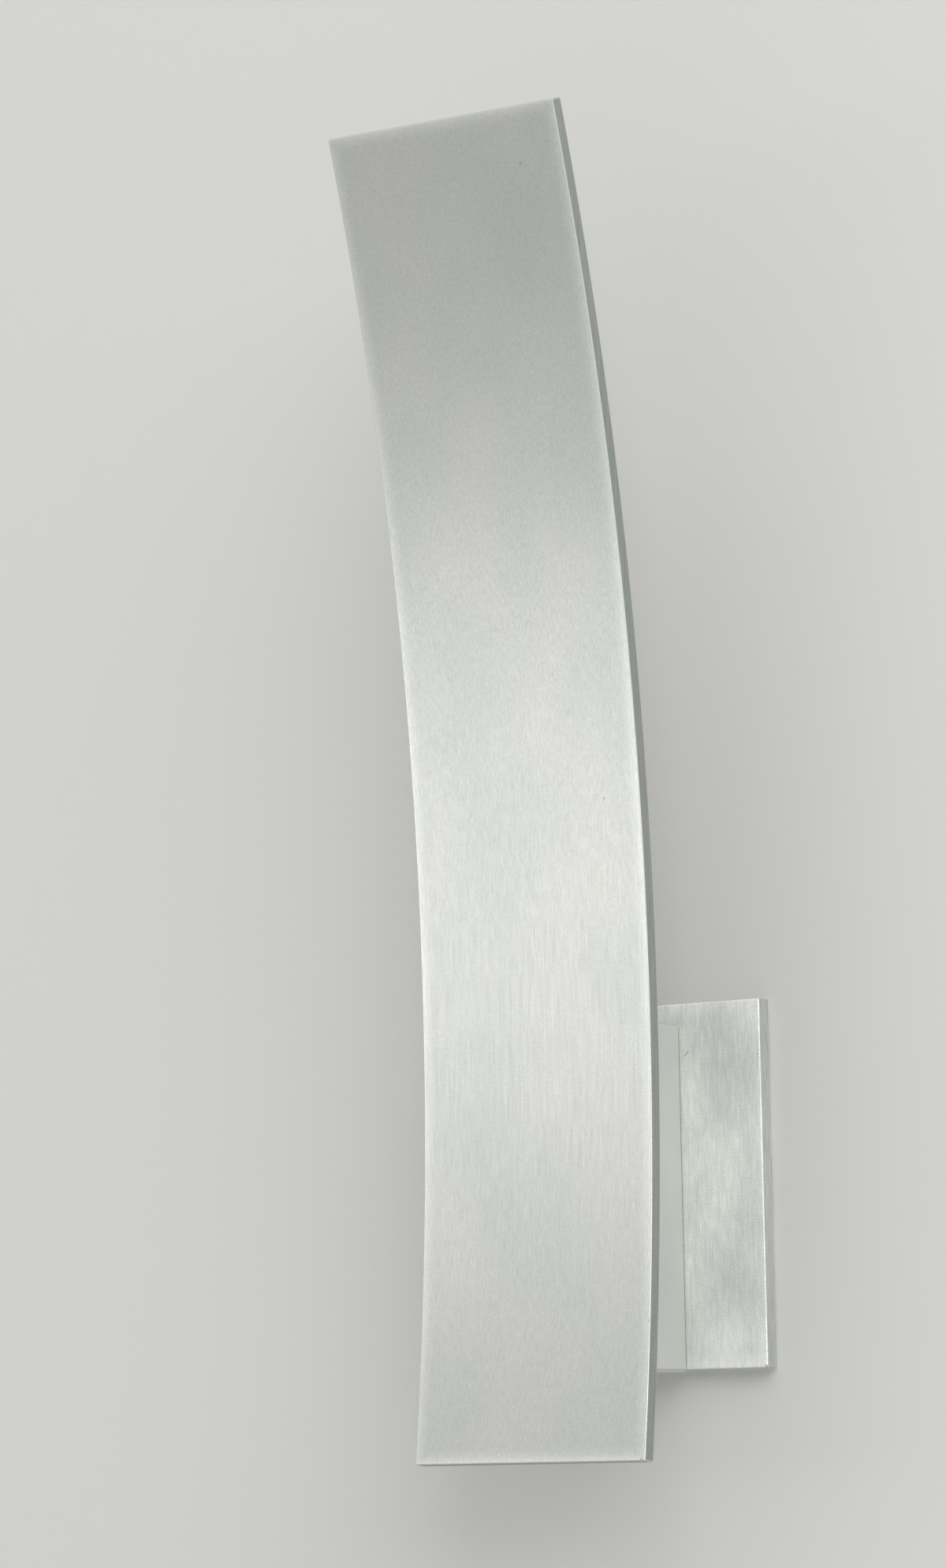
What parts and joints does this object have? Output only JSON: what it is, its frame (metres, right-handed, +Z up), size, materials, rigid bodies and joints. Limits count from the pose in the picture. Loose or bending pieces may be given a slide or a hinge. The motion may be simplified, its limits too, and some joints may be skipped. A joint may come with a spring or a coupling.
{
  "type": "outdoor wall sconce",
  "caption": "Tall curved brushed-metal blade on a slim lamp housing and a rectangular back plate, throwing light up the wall behind it.",
  "frame": {"origin": "on the wall, at the middle of the back plate's rear face", "axes": "+Z up along the wall, +Y into the wall, +X to the right as one faces the wall"},
  "size_m": [0.1142, 0.1521, 0.5602],
  "materials": {
    "brushed_aluminium": "satin",
    "satin_aluminium": "satin",
    "zinc_steel": "satin",
    "stainless": "satin",
    "black_oxide": "matte",
    "ground_green": "satin",
    "grey_foam": "matte",
    "black_rubber": "matte",
    "silicone": "matte",
    "thermal_grey": "matte",
    "frosted_lens": "matte",
    "white_plastic": "matte",
    "board_white": "matte",
    "phosphor": "gloss",
    "case_grey": "matte",
    "circuit_green": "satin",
    "ferrite": "matte",
    "capacitor_black": "gloss",
    "terminal_plastic": "matte",
    "brass": "satin",
    "lead_red": "satin",
    "lead_black": "satin",
    "lead_white": "satin"
  },
  "bodies": {
    "wall_mount": {"wall_bracket": "zinc_steel", "ground_screw": "ground_green"},
    "fixture": {"back_plate": "brushed_aluminium", "wall_gasket": "grey_foam", "housing_screws": "stainless", "wire_grommet": "black_rubber", "housing_gasket": "black_rubber", "lamp_housing": "satin_aluminium", "bottom_cover": "satin_aluminium", "cover_screws": "stainless", "blade": "brushed_aluminium", "blade_studs": "stainless", "stud_washers": "stainless", "stud_nuts": "stainless", "led_tray": "satin_aluminium", "tray_screws": "stainless", "thermal_pad": "thermal_grey", "led_board": "board_white", "led_chips": "phosphor", "board_screws": "stainless", "reflector": "white_plastic", "lens_gasket": "silicone", "lens": "frosted_lens", "lens_bezel": "satin_aluminium", "bezel_screws": "stainless", "driver_carrier": "zinc_steel", "driver_case": "case_grey", "driver_lid": "case_grey", "driver_board": "circuit_green", "driver_transformer": "ferrite", "driver_capacitors": "capacitor_black", "driver_screws": "stainless", "terminal_block": "terminal_plastic", "terminal_screws": "brass", "lead_live": "lead_black", "lead_neutral": "lead_white", "lamp_lead_red": "lead_red", "lamp_lead_black": "lead_black"},
    "set_screw_top": {"set_screw_top": "stainless"},
    "set_screw_bottom": {"set_screw_bottom": "stainless"}
  },
  "joints": [
    {"name": "fixture_pull_off", "type": "slide", "parent": "wall_mount", "child": "fixture", "axis": [0, -1, 0], "range_m": [0, 0.08]},
    {"name": "set_screw_top_travel", "type": "slide", "parent": "fixture", "child": "set_screw_top", "axis": [0, 0, 1], "range_m": [0, 0.003]},
    {"name": "set_screw_bottom_travel", "type": "slide", "parent": "fixture", "child": "set_screw_bottom", "axis": [0, 0, -1], "range_m": [0, 0.003]}
  ]
}
